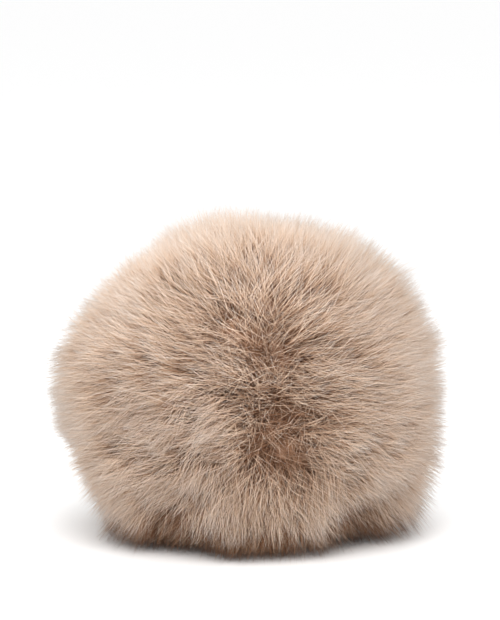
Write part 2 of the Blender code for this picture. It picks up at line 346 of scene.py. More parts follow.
def furMaterial():
    material, tree, shader = newMaterial("longFur")
    laid = addNode(tree, "ShaderNodeUVMap", uv_map="OFBake").outputs[0]
    parts = addNode(tree, "ShaderNodeSeparateXYZ", {0: laid}).outputs
    tree.links.new(furColours(tree, parts["Y"], parts["X"]), shader.inputs["Base Color"])
    shader.inputs["Roughness"].default_value = furLook["roughness"]
    shader.inputs["Specular IOR Level"].default_value = furLook["gloss"]
    shader.inputs["Sheen Weight"].default_value = furLook["sheen"]
    shader.inputs["Sheen Roughness"].default_value = furLook["sheenRoughness"]
    return material


underLook = dict(
    curlScale=900.0,
    curlDetail=5.0,
    curlReach=0.42,  # how far towards the tips' colours the lightest curls come
    patchScale=140.0,
    patchDetail=3.0,
    bump=0.6,
    bumpDepth=0.6 * mm,
    roughness=0.85,
    clothColour=(0.42, 0.41, 0.40, 1),
    clothEdge=(0.96, 1.04),  # where the cloth gives way to fibres, in radii of the stud's rim
    besideStud=0.34,  # how much further towards the tips' colours the fibres are round the stud
    besideEdge=(1.0, 2.2),
)


def undercoatMaterial():
    # short dense fibres in the depth of the fur, and the plain backing cloth under the stud
    material, tree, shader = newMaterial("denseUndercoat")
    place = tree.nodes.new("ShaderNodeTexCoord").outputs["Object"]
    curl = noise(tree, place, underLook["curlScale"], underLook["curlDetail"])
    patch = noise(tree, place, underLook["patchScale"], underLook["patchDetail"])
    parts = addNode(tree, "ShaderNodeSeparateXYZ", {0: place}).outputs
    aside = calc(tree, "SUBTRACT", parts["Z"], ballShape["middle"])
    acrossSquared = calc(tree, "MULTIPLY", parts["X"], parts["X"])
    asideSquared = calc(tree, "MULTIPLY", aside, aside)
    fromAxis = calc(tree, "POWER", calc(tree, "ADD", acrossSquared, asideSquared), 0.5)
    behind = calc(tree, "GREATER_THAN", parts["Y"], 0.0)
    clothFrom, clothTo = (edge * rimRadius for edge in underLook["clothEdge"])
    cloth = calc(tree, "MULTIPLY", ranged(tree, fromAxis, clothFrom, clothTo, 1.0, 0.0), behind)
    besideFrom, besideTo = (edge * rimRadius for edge in underLook["besideEdge"])
    beside = ranged(tree, fromAxis, besideFrom, besideTo, underLook["besideStud"], 0.0)
    along = calc(tree, "MULTIPLY", curl, underLook["curlReach"])
    along = calc(tree, "ADD", along, calc(tree, "MULTIPLY", beside, behind))
    colour = mixedColour(tree, cloth, furColours(tree, along, patch), underLook["clothColour"])
    tree.links.new(colour, shader.inputs["Base Color"])
    bumpOn(tree, shader, curl, underLook["bump"], underLook["bumpDepth"])
    shader.inputs["Roughness"].default_value = underLook["roughness"]
    return material


metalWear = dict(
    patchScale=420.0,
    patches=(0.42, 0.68),  # the noise between which wear sets in
    grainScale=5200.0,
    grainBump=0.12,
    grainDepth=0.05 * mm,
)
lacquerLook = dict(
    clean=(0.006, 0.0055, 0.0055, 1), worn=(0.022, 0.019, 0.017, 1), roughness=0.13, dulled=0.26,
    metallic=0.0, gloss=0.22,
)
brassLook = dict(
    clean=(0.80, 0.62, 0.28, 1), worn=(0.34, 0.25, 0.11, 1), roughness=0.20, dulled=0.42,
    metallic=1.0, gloss=0.5,
)


def metalMaterial(name, look):
    material, tree, shader = newMaterial(name)
    wear = placedGroup(tree, handledMetal, {
        "Patch Scale": metalWear["patchScale"], "Patch From": metalWear["patches"][0],
        "Patch To": metalWear["patches"][1], "Grain Scale": metalWear["grainScale"]})
    colour = mixedColour(tree, wear["Patches"], look["clean"], look["worn"])
    tree.links.new(colour, shader.inputs["Base Color"])
    rough = ranged(tree, wear["Patches"], 0.0, 1.0, look["roughness"], look["dulled"])
    tree.links.new(rough, shader.inputs["Roughness"])
    bumpOn(tree, shader, wear["Grain"], metalWear["grainBump"], metalWear["grainDepth"])
    shader.inputs["Metallic"].default_value = look["metallic"]
    shader.inputs["Specular IOR Level"].default_value = look["gloss"]
    return material


threadLook = dict(
    shade=(0.20, 0.185, 0.17, 1), light=(0.62, 0.60, 0.57, 1), plies=2600.0, unevenness=1.5,
    bump=0.5, bumpDepth=0.05 * mm, roughness=0.55,
)


def threadMaterial():
    # pale grey thread: two plies twisted round each other
    material, tree, shader = newMaterial("sewingThread")
    place = tree.nodes.new("ShaderNodeTexCoord").outputs["Object"]
    plies = threadLook["plies"] / (2 * math.pi)
    inputs = {"Vector": place, "Scale": plies, "Distortion": threadLook["unevenness"]}
    twist = addNode(tree, "ShaderNodeTexWave", inputs, bands_direction="DIAGONAL").outputs[1]
    colour = mixedColour(tree, twist, threadLook["shade"], threadLook["light"])
    tree.links.new(colour, shader.inputs["Base Color"])
    bumpOn(tree, shader, twist, threadLook["bump"], threadLook["bumpDepth"])
    shader.inputs["Roughness"].default_value = threadLook["roughness"]
    return material


fibreColour = colourGroup()
handledMetal = wearGroup()
longFur = furMaterial()
print("finishes ready")


stuffing = dict(
    share=0.55,  # how far out the dense undercoat stands, as a share of the fur
    clearAngle=19.0,  # degrees round the stud that stay bare
    fullAngle=50.0,
    divisions=6,
    lumpSize=1.6 * mm,
    lumpWaves=[((31, 17, -23), 0.3), ((-19, 29, 26), 1.9), ((22, -33, 14), 4.2), ((-27, -12, 35), 2.7)],
    lowest=0.5 * mm,
)


def undercoatShare(directions):
    away = degreesFrom(directions, studAxis)
    return stuffing["share"] * smoothStep(stuffing["clearAngle"], stuffing["fullAngle"], away)


def makeStuffedBall():
    bm = bmesh.new()
    bmesh.ops.create_icosphere(bm, subdivisions=stuffing["divisions"], radius=1.0)
    mesh = bpy.data.meshes.new("stuffedBall")
    bm.to_mesh(mesh)
    bm.free()
    spots = np.empty(len(mesh.vertices) * 3)
    mesh.vertices.foreach_get("co", spots)
    spots = unit(spots.reshape(-1, 3))
    shares = undercoatShare(spots)
    points = furPoints(spots, shares)
    lumps = sum(np.sin(spots @ np.array(wave) + phase) for wave, phase in stuffing["lumpWaves"])
    lumps = lumps / len(stuffing["lumpWaves"]) * stuffing["lumpSize"] * shares / stuffing["share"]
    points += spots * lumps[:, None]
    points[:, 2] = np.maximum(points[:, 2], stuffing["lowest"])
    mesh.vertices.foreach_set("co", points.astype(np.float32).ravel())
    mesh.shade_smooth()
    mesh.materials.append(undercoatMaterial())
    ball = newObject("stuffedBall", mesh)
    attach(ball, "root")
    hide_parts("fur")


makeStuffedBall()
print("stuffed ball ready")


fur = dict(
    seed=50,
    locks=420,
    lockJitter=0.26,
    lockLean=0.05,  # radians that a lock leans its own way
    lockShortest=0.96,
    lockGather=0.14,  # how far tufts draw together towards their lock's end
    lockWidth=0.6,  # of the locks' spacing
    lockTaper=0.04,  # how much shorter a lock is at its sides
    tuftCount=4600,
    tuftJitter=0.34,
    tuftLean=0.020,
    tuftBend=0.015,  # radians that a tuft bows sideways
    tuftShortest=0.97,
    tuftGather=0.46,
    tuftSpread=0.6,  # of the tufts' spacing
    lockTint=0.07,  # how unlike each other the locks are, the tufts, and
    tuftTint=0.14,
    tintSpread=0.27,  # the hairs, from dark 0 to light 1
    combedSides=0.5,  # how much of the combing is left at the sides and the back
    combedFrom=(0.1, 0.7),  # how far towards the front it fades in
    smoothest=0.25,  # how much of the tufts and of the tints is left at the sides and the back
    smoothFrom=(0.25, 0.9),
    paintedLightSides=0.06,  # and how much lighter the hairs are painted there, as painted light
    paintedLightBack=0.10,
    backFrom=(0.0, 0.6),
    stray=0.018,  # radians
    sag=0.02,  # radians that the ends hang down
    curlUnder=0.10,  # and how much more below the middle
    curlFrom=(0.2, 0.6),
    rootBelow=0.06,  # share below the undercoat's surface
    leastLength=0.12,
    bendAt=0.38,  # how far from root to end a hair bends
    bendHeight=0.55,
    lowest=0.4 * mm,  # above the surface
    paintedShadeBelow=4.5 * mm,  # ends nearer the floor than this get painted shade, showing less of their pale colours
    paintedShadeFull=0.15,
    pressedLonger=0.02,  # how much longer such fur is, so that its ends lie on the surface
    pressedFrom=(0.42, 0.66),
    ruffle=0.055,  # radians that the hairs in a valley lie every way
    valleyFade=3.5,  # how much narrower the painted shade of a valley is than the valley
    leastShown=0.88,  # of a hair's colours, towards its end
    thickness=(0.8, 1.2),
    bareAngle=19.2,  # degrees round the stud with no roots
    paleAngle=44.0,  # round it the hairs are pale up to here
    paleRoots=0.42,
    shortAngle=32.0,  # fur is shorter up to here
    shortest=0.90,
)

combing = dict(
    seed=87,
    waves=60,
    shortest=0.10,  # radians between one crest and the next
    longest=0.42,
    lean=0.27,  # how steeply the fur bunches
    rise=0.045,  # how much longer it stands on a crest
)

# narrow valleys in the fur: as the partings, with how much shorter the fur is there and how much
# painted shade its hairs get, as less of their pale colours
valleys = [
    dict(start=(4, 35), end=(11, 26), push=0.01, spread=0.09, short=0.0, paintedShade=0.02),
    dict(start=(11, 24), end=(13, 8), push=0.01, spread=0.09, short=0.02, paintedShade=0.10),
    dict(start=(11, 3.5), end=(16, 2.5), push=0.05, spread=0.065, short=0.14, paintedShade=1.05),
    dict(start=(9.5, -8), end=(15, -8), push=0.05, spread=0.065, short=0.14, paintedShade=1.1),
    dict(start=(17, 3), end=(26, 2), push=0.03, spread=0.07, short=0.04, paintedShade=0.30),
    dict(start=(12, -8), end=(22, -18), push=0.02, spread=0.08, short=0.03, paintedShade=0.14),
    dict(start=(-15, 34), end=(-5, 29), push=0.02, spread=0.08, short=0.02, paintedShade=0.14),
    dict(start=(3, -17), end=(10, -30), push=0.01, spread=0.14, short=0.0, paintedShade=0.12),
    dict(start=(-32, -33), end=(-19, -33), push=0.05, spread=0.08, short=0.15, paintedShade=0.95),
    dict(start=(43, -34), end=(55, -33), push=0.05, spread=0.08, short=0.13, paintedShade=0.90),
    dict(start=(150, 40), end=(170, 62), push=0.04, spread=0.13, short=0.04, paintedShade=0.10),
    dict(start=(-150, 30), end=(-128, 8), push=0.04, spread=0.13, short=0.04, paintedShade=0.10),
    dict(start=(128, -20), end=(150, -34), push=0.04, spread=0.12, short=0.04, paintedShade=0.10),
]

# crests between them, where the fur is drawn together and its pale ends show
crests = [
    dict(start=(20, 38), end=(56, 43), push=-0.02, spread=0.09, short=-0.02),
    dict(start=(-50, 5), end=(-21, 8), push=-0.025, spread=0.08, short=-0.015),
    dict(start=(-46, -3), end=(-29, 1), push=-0.025, spread=0.08, short=-0.01),
    dict(start=(-50, 40), end=(-15, 36), push=-0.025, spread=0.10, short=-0.015),
    dict(start=(18, -2), end=(49, -15), push=-0.025, spread=0.09, short=-0.015),
    dict(start=(-6, -18), end=(-14, -34), push=-0.02, spread=0.08, short=-0.01),
    dict(start=(-15, 6), end=(-2, 9), push=-0.03, spread=0.08, short=-0.03),
]


def combed(directions):
    # leans and lengths that draw the fur into soft locks of many sizes
    chance = np.random.default_rng(combing["seed"])
    lean, rise = np.zeros_like(directions), np.zeros(len(directions))
    for _ in range(combing["waves"]):
        size = math.exp(chance.uniform(math.log(combing["shortest"]), math.log(combing["longest"])))
        wave = unit(chance.normal(0, 1, 3)) * 2 * math.pi / size
        turn = directions @ wave + chance.uniform(0, 2 * math.pi)
        push = combing["lean"] * size / (2 * math.pi) / math.sqrt(combing["waves"] / 6)
        lean += np.sin(turn)[:, None] * unit(wave) * push
        rise -= np.cos(turn) * combing["rise"] / math.sqrt(combing["waves"] / 2)
    for line in valleys + crests:
        lean += parted(directions, line)
        rise -= line["short"] * fromLine(directions, line)[1]
    return tangent(directions, lean), rise


# coats of hair: how many, how thick, how long, how many pieces each is kept in, and how much of the
# valleys' painted shade it takes
coats = [
    dict(name="furCoat", hairs=96000, pieces=4, width=0.105 * mm, longest=1.06, spread=0.50,
         gather=1.0, stray=1.0, frizz=0.4 * mm, tint=-0.10, paintedShade=1.3),
    dict(name="furOver", hairs=64000, pieces=2, width=0.080 * mm, longest=1.11, spread=0.26,
         gather=0.2, stray=2.6, frizz=0.9 * mm, tint=0.16, paintedShade=0.6),
]

# a hair's outline: how far along it, and how thick it is there
plainOutline = [(0.0, 0.0), (0.42, 1.0), (1.0, 0.0)]
fineOutline = [(0.0, 0.0), (0.14, 0.8), (0.32, 1.0), (0.52, 0.95), (0.72, 0.75), (0.88, 0.45), (1.0, 0.0)]
hairSides = 3
acrossFrom = (0.31, 0.22, 0.93)  # any direction that hairs seldom take, to set their sides by
tintWidth = 1 / 32  # of the map, that each hair takes
widthSpread = 0.3  # how unlike each other the hairs' widths are


def makeHairPattern(outline):
    # one straight hair of length 1 and thickness 1: a point, rings and a point
    bm = bmesh.new()
    around = bm.loops.layers.uv.new("OFBake")
    rings = []
    for along, thick in outline:
        if thick == 0:
            rings.append([bm.verts.new((0, 0, along))] * hairSides)
            continue
        turns = [2 * math.pi * k / hairSides for k in range(hairSides)]
        rings.append([bm.verts.new((thick * math.cos(t), thick * math.sin(t), along)) for t in turns])
    for low, high in zip(rings, rings[1:]):
        for k in range(hairSides):
            after = (k + 1) % hairSides
            corners = [(low[k], k), (low[after], k + 1), (high[after], k + 1), (high[k], k)]
            used = []
            for vert, side in corners:
                if vert not in [v for v, _ in used]:
                    used.append((vert, side))
            face = bm.faces.new([v for v, _ in used])
            for loop, (vert, side) in zip(face.loops, used):
                loop[around].uv = (side / hairSides, vert.co.z)
    bmesh.ops.triangulate(bm, faces=bm.faces[:])
    mesh = bpy.data.meshes.new("hairPattern")
    bm.to_mesh(mesh)
    bm.free()
    mesh.shade_smooth()
    return mesh


def namedValue(tree, name, kind):
    node = addNode(tree, "GeometryNodeInputNamedAttribute", {"Name": name}, data_type=kind)
    return node.outputs["Attribute"]


def kept(tree, geometry, name, value, kind, domain="POINT"):
    inputs = {"Geometry": geometry, "Name": name, "Value": value}
    node = addNode(tree, "GeometryNodeStoreNamedAttribute", inputs, data_type=kind, domain=domain)
    return node.outputs["Geometry"]


def hairTree():
    # hairs on guide points, each along a curve from its root by its bend to its tip
    tree = bpy.data.node_groups.new("hairStrands", "GeometryNodeTree")
    sockets = (
        ("Guides", "NodeSocketGeometry", None), ("Hair", "NodeSocketObject", None),
        ("Width", "NodeSocketFloat", 0.1 * mm), ("Width Spread", "NodeSocketFloat", 0.3),
        ("Frizz", "NodeSocketFloat", 0.3 * mm), ("Map Width", "NodeSocketFloat", 0.03),
        ("Seed", "NodeSocketInt", 1), ("Finish", "NodeSocketMaterial", None),
    )
    for name, kind, value in sockets:
        made = tree.interface.new_socket(name, in_out="INPUT", socket_type=kind)
        if value is not None:
            made.default_value = value
    tree.interface.new_socket("Hairs", in_out="OUTPUT", socket_type="NodeSocketGeometry")
    given = tree.nodes.new("NodeGroupInput").outputs

    def chance(low, high, kind, places, seedStep):
        # places: the sockets of the least and the most for this kind of value, and of the result
        inputs = {places[0]: low, places[1]: high, "Seed": calc(tree, "ADD", given["Seed"], float(seedStep))}
        return addNode(tree, "FunctionNodeRandomValue", inputs, data_type=kind).outputs[places[2]]

    def frizzed(name, share, seedStep):
        away = chance((-1, -1, -1), (1, 1, 1), "FLOAT_VECTOR", (0, 1, 0), seedStep)
        reach = calc(tree, "MULTIPLY", given["Frizz"], share)
        return vectorCalc(tree, "ADD", namedValue(tree, name, "FLOAT_VECTOR"), scaled(tree, away, reach))

    guidePlace = tree.nodes.new("GeometryNodeInputPosition").outputs[0]
    geometry = kept(tree, given["Guides"], "root", guidePlace, "FLOAT_VECTOR")
    geometry = kept(tree, geometry, "bend", frizzed("bend", 2.0, 11), "FLOAT_VECTOR")
    geometry = kept(tree, geometry, "tip", frizzed("tip", 1.0, 23), "FLOAT_VECTOR")
    least = calc(tree, "SUBTRACT", 1.0, given["Width Spread"])
    most = calc(tree, "ADD", 1.0, given["Width Spread"])
    factor = chance(least, most, "FLOAT", (2, 3, 1), 37)
    width = calc(tree, "MULTIPLY", given["Width"], factor)
    thick = calc(tree, "MULTIPLY", width, namedValue(tree, "thick", "FLOAT"))
    geometry = kept(tree, geometry, "thick", thick, "FLOAT")

    pattern = addNode(tree, "GeometryNodeObjectInfo", {"Object": given["Hair"]}).outputs["Geometry"]
    placed = addNode(tree, "GeometryNodeInstanceOnPoints", {"Points": geometry, "Instance": pattern})
    real = addNode(tree, "GeometryNodeRealizeInstances", {"Geometry": placed.outputs[0]}).outputs[0]

    root = namedValue(tree, "root", "FLOAT_VECTOR")
    bend = namedValue(tree, "bend", "FLOAT_VECTOR")
    tip = namedValue(tree, "tip", "FLOAT_VECTOR")
    own = vectorCalc(tree, "SUBTRACT", tree.nodes.new("GeometryNodeInputPosition").outputs[0], root)
    section = addNode(tree, "ShaderNodeSeparateXYZ", {0: own}).outputs
    first = blended(tree, section["Z"], root, bend)
    second = blended(tree, section["Z"], bend, tip)
    line = blended(tree, section["Z"], first, second)
    ahead = vectorCalc(tree, "NORMALIZE", vectorCalc(tree, "SUBTRACT", second, first))
    side = vectorCalc(tree, "NORMALIZE", vectorCalc(tree, "CROSS_PRODUCT", ahead, acrossFrom))
    other = vectorCalc(tree, "CROSS_PRODUCT", ahead, side)
    wide = namedValue(tree, "thick", "FLOAT")
    offset = vectorCalc(
        tree, "ADD", scaled(tree, side, calc(tree, "MULTIPLY", section["X"], wide)),
        scaled(tree, other, calc(tree, "MULTIPLY", section["Y"], wide)),
    )
    laid = addNode(tree, "GeometryNodeSetPosition", {
        "Geometry": real, "Position": vectorCalc(tree, "ADD", line, offset)}).outputs[0]

    drawn = addNode(tree, "ShaderNodeSeparateXYZ", {0: namedValue(tree, "OFBake", "FLOAT_VECTOR")}).outputs
    room = calc(tree, "SUBTRACT", 1.0, given["Map Width"])
    start = calc(tree, "MULTIPLY", namedValue(tree, "tint", "FLOAT"), room)
    across = calc(tree, "ADD", start, calc(tree, "MULTIPLY", drawn["X"], given["Map Width"]))
    # hairs given painted shade reach less far towards their tips' colours
    along = calc(tree, "MULTIPLY", drawn["Y"], namedValue(tree, "shown", "FLOAT"))
    toTip = calc(tree, "SUBTRACT", 1.0, drawn["Y"])
    along = calc(tree, "ADD", along, calc(tree, "MULTIPLY", toTip, namedValue(tree, "pale", "FLOAT")))
    place = addNode(tree, "ShaderNodeCombineXYZ", {"X": across, "Y": along}).outputs[0]
    mapped = kept(tree, laid, "OFBake", place, "FLOAT2", "CORNER")
    finished = addNode(tree, "GeometryNodeSetMaterial", {"Geometry": mapped, "Material": given["Finish"]})
    out = tree.nodes.new("NodeGroupOutput")
    tree.links.new(finished.outputs[0], out.inputs[0])
    return tree


hairStrands = hairTree()


def layHairs(coat, chance):
    # where each hair of a coat starts, bends and ends, from the locks and the tufts that it is in
    locks = evenDirections(fur["locks"], fur["lockJitter"], chance)
    lockLean = tangent(locks, chance.normal(0, fur["lockLean"], locks.shape))
    lockLength = chance.uniform(fur["lockShortest"], 1.0, len(locks))
    lockTint = chance.normal(0, fur["lockTint"], len(locks))

    tuftAt = evenDirections(fur["tuftCount"], fur["tuftJitter"], chance)
    lockOf = (tuftAt @ locks.T).argmax(axis=1)
    off = tuftAt - locks[lockOf]
    lockSpacing = math.sqrt(4 * math.pi / fur["locks"])
    fromMiddle = np.linalg.norm(off, axis=1) / (lockSpacing * fur["lockWidth"])
    tuftLean = tangent(tuftAt, chance.normal(0, fur["tuftLean"], tuftAt.shape))
    combLean, combRise = combed(tuftAt)
    fuller = fur["combedSides"] + (1 - fur["combedSides"]) * smoothStep(*fur["combedFrom"], -tuftAt[:, 1])
    combLean *= fuller[:, None]
    tuftTip = unit(locks[lockOf] + lockLean[lockOf] + tuftLean + combLean + off * (1 - fur["lockGather"]))
    tuftLength = lockLength[lockOf] * (1 - fur["lockTaper"] * np.clip(fromMiddle, 0, 1.2) ** 2)
    tuftLength *= chance.uniform(fur["tuftShortest"], 1.0, len(tuftAt)) + combRise * fuller
    tuftTint = lockTint[lockOf] + chance.normal(0, fur["tuftTint"], len(tuftAt))

    # the hairs, each in its tuft
    tuft = np.arange(coat["hairs"]) % fur["tuftCount"]
    tuftSpacing = math.sqrt(4 * math.pi / fur["tuftCount"])
    scatter = chance.normal(0, fur["tuftSpread"] * tuftSpacing, (coat["hairs"], 3))
    start = unit(tuftAt[tuft] + scatter)
    ruffled = sum(valley["paintedShade"] * fromLine(start, valley)[1] for valley in valleys) * fur["ruffle"]
    stray = chance.normal(0, 1, start.shape) * (fur["stray"] * coat["stray"] + ruffled)[:, None]
    front = smoothStep(*fur["smoothFrom"], -start[:, 1])
    smoother = fur["smoothest"] + (1 - fur["smoothest"]) * front
    gather = (fur["tuftGather"] * coat["gather"] * smoother)[:, None]
    end = tuftTip[tuft] + (start - tuftAt[tuft]) * (1 - gather) + stray
    end[:, 2] -= fur["sag"] + fur["curlUnder"] * smoothStep(*fur["curlFrom"], -start[:, 2])
    end = unit(end)
    length = tuftLength[tuft] * (1 - coat["spread"] * chance.uniform(0, 1, len(tuft)) ** 2) * coat["longest"]

    # shorter round the stud, a little longer at the foot
    away = degreesFrom(start, studAxis)
    grown = away > fur["bareAngle"]
    nearStud = 1 - smoothStep(fur["bareAngle"], fur["shortAngle"], away)
    length *= 1 - (1 - fur["shortest"]) * nearStud
    length *= 1 + fur["pressedLonger"] * smoothStep(*fur["pressedFrom"], -end[:, 2])
    rootShare = np.maximum(undercoatShare(start) - fur["rootBelow"], 0.0)
    bow = tangent(tuftAt, chance.normal(0, fur["tuftBend"], tuftAt.shape))
    half = unit(start * (1 - fur["bendAt"]) + end * fur["bendAt"] + bow[tuft])
    length = np.maximum(length, rootShare + fur["leastLength"])
    tint = coat["tint"] + tuftTint[tuft] + chance.normal(0, fur["tintSpread"], len(tuft))
    # painted light: hairs at the sides and the back are made lighter
    paintedLight = fur["paintedLightSides"] * (1 - front) + fur["paintedLightBack"] * smoothStep(*fur["backFrom"], start[:, 1])
    hairs = dict(
        root=furPoints(start, rootShare),
        bend=furPoints(half, rootShare + (length - rootShare) * fur["bendHeight"]),
        tip=furPoints(end, length),
        thick=chance.uniform(*fur["thickness"], len(tuft)),
        tint=np.clip(0.5 + tint * smoother + paintedLight, 0, 1),
    )
    for name in ("bend", "tip"):
        hairs[name][:, 2] = np.maximum(hairs[name][:, 2], fur["lowest"])

    # how much of its colours each hair shows: less at random, and less with painted shade near the floor
    # and in the valleys
    clearOfPaintedShade = smoothStep(fur["paintedShadeBelow"] * fur["paintedShadeFull"], fur["paintedShadeBelow"], hairs["tip"][:, 2])
    hairs["shown"] = clearOfPaintedShade * chance.uniform(fur["leastShown"], 1.0, len(tuft))
    # painted shade in the valleys: their hairs show less of their pale colours
    for valley in valleys:
        paintedValleyShade = coat["paintedShade"] * valley["paintedShade"] * fromLine(start, valley)[1] ** fur["valleyFade"]
        hairs["shown"] *= np.maximum(1 - paintedValleyShade, 0.0)
    hairs["pale"] = fur["paleRoots"] * (1 - smoothStep(fur["bareAngle"], fur["paleAngle"], away))

    # in order round the ball, so that each piece is a sector of it
    hairs = {name: values[grown] for name, values in hairs.items()}
    turn = np.arctan2(hairs["root"][:, 0], hairs["root"][:, 1])
    order = np.argsort(turn, kind="stable")
    return {name: values[order] for name, values in hairs.items()}


def guideMesh(name, hairs):
    mesh = bpy.data.meshes.new(name)
    mesh.vertices.add(len(hairs["root"]))
    mesh.vertices.foreach_set("co", hairs["root"].astype(np.float32).ravel())
    for value in guideValues[1:]:
        kind, field = ("FLOAT_VECTOR", "vector") if hairs[value].ndim == 2 else ("FLOAT", "value")
        found = hairs[value].astype(np.float32).ravel()
        mesh.attributes.new(value, kind, "POINT").data.foreach_set(field, found)
    return mesh


def grownHairs(name, hairs, outline, width, spread, frizz, seed):
    pattern = newObject("hairPattern", makeHairPattern(outline))
    piece = builtBy(hairStrands, name, guideMesh(name, hairs), {
        "Hair": pattern, "Width": width, "Width Spread": spread, "Frizz": frizz,
        "Map Width": tintWidth, "Seed": seed, "Finish": longFur,
    })
    bpy.data.objects.remove(pattern, do_unlink=True)
    return piece


def makeFur():
    chance = np.random.default_rng(fur["seed"])
    for number, coat in enumerate(coats):
        hairs = layHairs(coat, chance)
        sectors = np.array_split(np.arange(len(hairs["root"])), coat["pieces"])
        for k, mine in enumerate(sectors):
            piece = grownHairs(
                f"{coat['name']}_{k + 1}", {value: found[mine] for value, found in hairs.items()},
                plainOutline, coat["width"], widthSpread, coat["frizz"], fur["seed"] + 10 * number + k,
            )
            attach(piece, "root")
            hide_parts("fur")
            print(f"{piece.name}: {len(mine)} hairs, {len(piece.data.polygons)} faces")


makeFur()


def finishStud():
    lacquer = metalMaterial("blackLacquer", lacquerLook)
    brass = metalMaterial("agedBrass", brassLook)
    for name, material in (("stud_plate", lacquer), ("stud_rim", brass), ("stud_ball", brass)):
        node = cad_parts[name]
        node.data.materials.clear()
        node.data.materials.append(material)


finishStud()


plateFace = studLow.y + 0.9 * mm
studThreads = dict(
    seed=5,
    holes=4,
    holeDistance=6.7 * mm,
    holeLength=2.5 * mm,
    strands=4,  # in each hole
    strandSpacing=0.30 * mm,
    thickness=0.17 * mm,
    clearance=0.06 * mm,  # from the ends of the hole
    skew=0.05 * mm,
    rise=0.16 * mm,  # above the plate
    riseSpread=(0.6, 1.2),
    depth=0.75 * mm,  # below it at the ends
    roundness=0.6,
    points=15,
    sides=7,
)

# loose grey fibres that lie on the plate, seen from behind: right, up and off the plate's face in millimetres
strayFibre = dict(
    path=[(-2.2, -2.9, 0.10), (-3.6, -3.3, 0.05), (-4.3, -4.0, 0.05), (-3.8, -4.8, 0.05), (-2.1, -5.1, 0.10),
          (0.4, -5.1, 0.40), (2.5, -5.3, 0.25), (3.9, -6.0, 0.10), (4.1, -7.1, 0.15), (3.1, -7.8, 0.70)],
    thickness=0.055 * mm,
)
crossingFibre = dict(
    path=[(-1.4, -5.0, 0.30), (0.0, -4.3, 0.12), (1.4, -3.2, 0.10), (2.6, -2.2, 0.20), (3.4, -1.2, 0.35)],
    thickness=0.04 * mm,
)
fibreSteps = 6  # from each of those points to the next
fibreSides = 6

# fine hairs from the fur that lie over the rim and the plate
studHairs = dict(
    seed=12,
    hairs=64,
    sweep=(-25.0, 118.0),  # degrees round the stud, from the right
    elsewhere=6,  # one in so many is anywhere round it
    spread=20.0,  # degrees
    rooted=(11.2 * mm, 12.8 * mm),  # from the axis
    landing=(4.3 * mm, 8.6 * mm),
    rootOff=(0.2 * mm, 1.6 * mm),  # off the plate's face
    bendOff=(0.9 * mm, 2.2 * mm),
    tipOff=(0.12 * mm, 0.6 * mm),
    thickness=0.055 * mm,
    thickSpread=(0.7, 1.3),
    widthSpread=0.2,
    frizz=0.2 * mm,
    tint=(0.5, 1.0),
    shown=(0.7, 1.0),
    pale=0.5,
)


def onStud(right, up, off):
    # a place on the plate as seen from behind, in metres
    middle = ballShape["middle"]
    return np.stack([-right, plateFace + off, middle + up], axis=-1)


def smoothPath(points, steps):
    # a curve through the points
    points = np.array(points, dtype=float)
    ends = np.vstack([2 * points[0] - points[1], points, 2 * points[-1] - points[-2]])
    share = np.linspace(0, 1, steps, endpoint=False)[:, None]
    pieces = []
    for a, b, c, d in zip(ends, ends[1:], ends[2:], ends[3:]):
        pieces.append(0.5 * (2 * b + (c - a) * share + (2 * a - 5 * b + 4 * c - d) * share**2
                             + (3 * b - a - 3 * c + d) * share**3))
    return np.vstack(pieces + [points[-1:]])


def threadTree():
    # a round closed tube along each line of the mesh it is given
    tree = bpy.data.node_groups.new("threadTubes", "GeometryNodeTree")
    for name, kind in (("Lines", "Geometry"), ("Sides", "Int"), ("Finish", "Material")):
        tree.interface.new_socket(name, in_out="INPUT", socket_type="NodeSocket" + kind)
    tree.interface.new_socket("Threads", in_out="OUTPUT", socket_type="NodeSocketGeometry")
    given = tree.nodes.new("NodeGroupInput").outputs
    lines = addNode(tree, "GeometryNodeMeshToCurve", {"Mesh": given["Lines"]}).outputs[0]
    ring = addNode(tree, "GeometryNodeCurvePrimitiveCircle", {"Resolution": given["Sides"], "Radius": 1.0})
    tubes = addNode(tree, "GeometryNodeCurveToMesh", {
        "Curve": lines, "Profile Curve": ring.outputs[0], "Scale": namedValue(tree, "thick", "FLOAT"),
        "Fill Caps": True})
    real = addNode(tree, "GeometryNodeRealizeInstances", {"Geometry": tubes.outputs[0]}).outputs[0]
    finished = addNode(tree, "GeometryNodeSetMaterial", {"Geometry": real, "Material": given["Finish"]})
    out = tree.nodes.new("NodeGroupOutput")
    tree.links.new(finished.outputs[0], out.inputs[0])
    return tree


def lineMesh(name, paths, thicknesses):
    mesh = bpy.data.meshes.new(name)
    points = np.vstack(paths)
    edges, first = [], 0
    for path in paths:
        edges += [(first + k, first + k + 1) for k in range(len(path) - 1)]
        first += len(path)
    mesh.from_pydata(points.tolist(), edges, [])
    thick = np.concatenate([np.full(len(path), value) for path, value in zip(paths, thicknesses)])
    mesh.attributes.new("thick", "FLOAT", "POINT").data.foreach_set("value", thick.astype(np.float32))
    return mesh


def strandPaths():
    # strands side by side in each hole, over its middle and down through its ends
    chance = np.random.default_rng(studThreads["seed"])
    reach = studThreads["holeLength"] / 2 - studThreads["thickness"] - studThreads["clearance"]
    angle = np.linspace(-0.5, 0.5, studThreads["points"]) * math.pi
    along = np.sin(angle) * reach
    depth = 1 - np.cos(angle) ** studThreads["roundness"]
    paths = []
    for hole in range(studThreads["holes"]):
        turn = 2 * math.pi * hole / studThreads["holes"]
        outward = np.array([math.cos(turn), math.sin(turn)])
        around = np.array([-math.sin(turn), math.cos(turn)])
        for strand in range(studThreads["strands"]):
            aside = (strand - (studThreads["strands"] - 1) / 2) * studThreads["strandSpacing"]
            skew = chance.normal(0, studThreads["skew"], 2)
            high = studThreads["rise"] * chance.uniform(*studThreads["riseSpread"])
            fromAxis = studThreads["holeDistance"] + aside + np.interp(along, (-reach, reach), skew)
            place = outward * fromAxis[:, None] + around * along[:, None]
            paths.append(onStud(place[:, 0], place[:, 1], high - depth * (high + studThreads["depth"])))
    return paths


